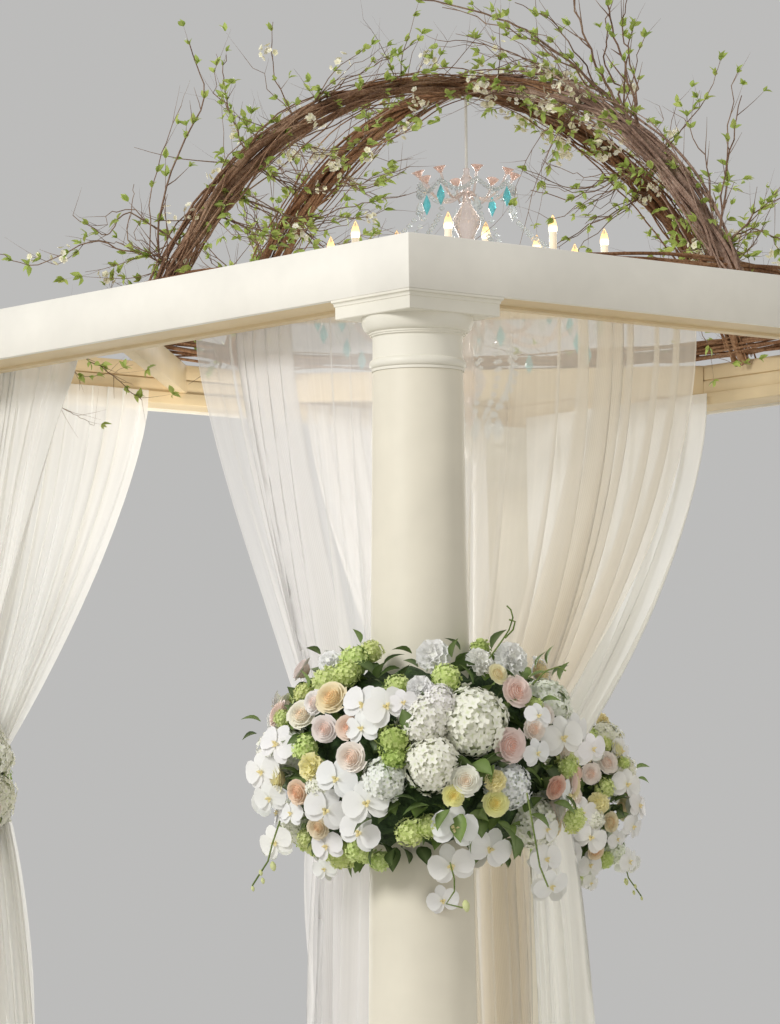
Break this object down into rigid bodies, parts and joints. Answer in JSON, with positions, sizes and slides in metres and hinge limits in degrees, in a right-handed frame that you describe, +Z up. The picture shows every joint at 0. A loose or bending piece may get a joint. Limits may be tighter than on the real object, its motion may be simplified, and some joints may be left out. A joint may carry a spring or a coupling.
{
  "type": "chuppah canopy",
  "caption": "Square wedding canopy on tapered columns, with a boarded frame, tied-back sheer curtains, flower collars, a vine dome and a hanging chandelier.",
  "frame": {"origin": "On the ground, at the centre of the square plan", "axes": "+Z up, -Y to the front, +X to the right"},
  "size_m": [3.133, 3.133, 4.2104],
  "materials": {
    "cream_paint": "satin",
    "sheer_fabric": "soft sheen, see-through",
    "vine_bark": "rough bark",
    "fresh_flowers": "matt petals and leaves",
    "crystal": "polished",
    "hanging_cord": "smooth"
  },
  "bodies": {
    "root": {"front_right_column_base": "cream_paint", "front_right_column_shaft": "cream_paint", "front_right_column_capital": "cream_paint", "front_right_brace": "cream_paint", "front_right_flower_collar": "fresh_flowers", "front_left_column_base": "cream_paint", "front_left_column_shaft": "cream_paint", "front_left_column_capital": "cream_paint", "front_left_brace": "cream_paint", "front_left_flower_collar": "fresh_flowers", "back_right_column_base": "cream_paint", "back_right_column_shaft": "cream_paint", "back_right_column_capital": "cream_paint", "back_right_brace": "cream_paint", "back_right_flower_collar": "fresh_flowers", "back_left_column_base": "cream_paint", "back_left_column_shaft": "cream_paint", "back_left_column_capital": "cream_paint", "back_left_brace": "cream_paint", "back_left_flower_collar": "fresh_flowers", "front_fascia": "cream_paint", "front_soffit": "cream_paint", "front_rail": "cream_paint", "front_vine_leg": "vine_bark", "right_fascia": "cream_paint", "right_soffit": "cream_paint", "right_rail": "cream_paint", "right_vine_leg": "vine_bark", "back_fascia": "cream_paint", "back_soffit": "cream_paint", "back_rail": "cream_paint", "back_vine_leg": "vine_bark", "left_fascia": "cream_paint", "left_soffit": "cream_paint", "left_rail": "cream_paint", "left_vine_leg": "vine_bark", "vine_ring": "vine_bark", "chandelier_frame": "crystal", "chandelier_crown": "crystal", "chandelier_cord": "hanging_cord", "front_right_curtain": "sheer_fabric", "front_left_curtain": "sheer_fabric", "right_front_curtain": "sheer_fabric", "right_back_curtain": "sheer_fabric", "back_right_curtain": "sheer_fabric", "back_left_curtain": "sheer_fabric", "left_back_curtain": "sheer_fabric", "left_front_curtain": "sheer_fabric"}
  },
  "joints": []
}
